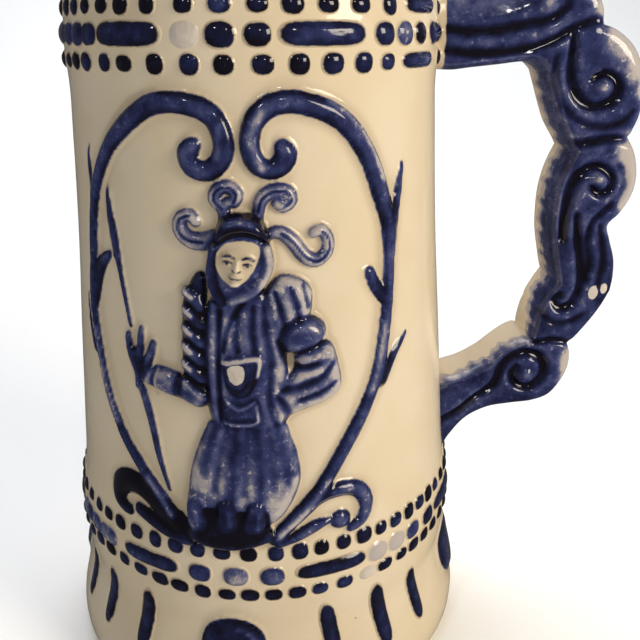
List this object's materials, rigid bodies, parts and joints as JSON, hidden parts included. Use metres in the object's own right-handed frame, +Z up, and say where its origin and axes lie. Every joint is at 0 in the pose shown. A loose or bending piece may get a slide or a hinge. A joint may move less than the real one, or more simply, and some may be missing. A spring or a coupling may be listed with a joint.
{
  "type": "beer mug",
  "caption": "Glazed ceramic beer mug with a scrolled handle, beaded bands and a raised panel of a guard in a plumed cap.",
  "frame": {"origin": "centre of the flat underside, on the surface the mug stands on", "axes": "+Z up the axis of the body; +X towards the handle; -Y is the side with the guard"},
  "size_m": [0.1459, 0.106, 0.167],
  "materials": {
    "glaze": "glossy ivory glaze, relief brushed in cobalt blue"
  },
  "bodies": {
    "root": {"mug": "glaze"}
  },
  "joints": []
}
